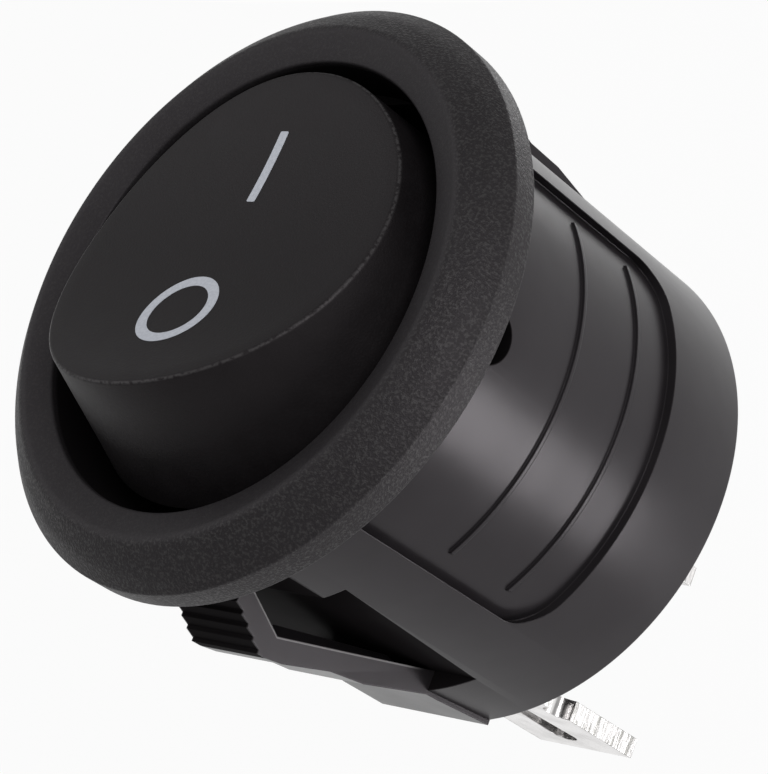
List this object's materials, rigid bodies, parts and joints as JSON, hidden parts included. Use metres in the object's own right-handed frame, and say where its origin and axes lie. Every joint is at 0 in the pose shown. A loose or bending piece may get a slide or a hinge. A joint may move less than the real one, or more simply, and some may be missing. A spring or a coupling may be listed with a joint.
{
  "type": "round panel rocker switch",
  "caption": "Round snap-in panel rocker switch with a dished rocker, a convex bezel, stepped side latches and flat solder or push-on tabs.",
  "frame": {"origin": "centre of the back face of the bezel, in the plane that seats on the panel", "axes": "+Z out of the panel, +X along the rocker's pivot towards the side with the rating field, +Y towards the end of the rocker marked I"},
  "size_m": [0.023, 0.023, 0.0303],
  "materials": {
    "housing_plastic": "moulded black nylon, semi-gloss body and sparkle-textured bezel",
    "rocker_plastic": "fine matte texture",
    "plunger_nylon": "natural nylon",
    "spring_steel": "drawn wire",
    "lever_copper": "rolled copper strip",
    "contact_silver": "headed silver alloy",
    "tinned_brass": "bright tin plate with sheared edges"
  },
  "bodies": {
    "base": {"housing": "housing_plastic", "contact_terminal": "tinned_brass", "common_terminal": "tinned_brass", "fixed_contact": "contact_silver"},
    "rocker": {"rocker": "rocker_plastic", "plunger_spring": "spring_steel"},
    "plunger": {"plunger": "plunger_nylon"},
    "lever": {"contact_lever": "lever_copper", "moving_contact": "contact_silver"}
  },
  "joints": [
    {"name": "rocker_hinge", "type": "hinge", "parent": "base", "child": "rocker", "pos_m": [0, 0, -0.0013], "axis": [1, 0, 0], "range_deg": [0, 26]},
    {"name": "lever_hinge", "type": "hinge", "parent": "base", "child": "lever", "pos_m": [0, 0, -0.01104], "axis": [1, 0, 0], "range_deg": [-16, 0]},
    {"name": "plunger_slide", "type": "slide", "parent": "rocker", "child": "plunger", "axis": [0, 0.225, 0.9744], "range_m": [0, 0.001], "stiffness_N_per_m": 300, "deforming": ["plunger_spring"]}
  ],
  "couplings": [
    {"joint": "lever_hinge", "follows": "rocker_hinge", "ratio": -0.61538}
  ]
}
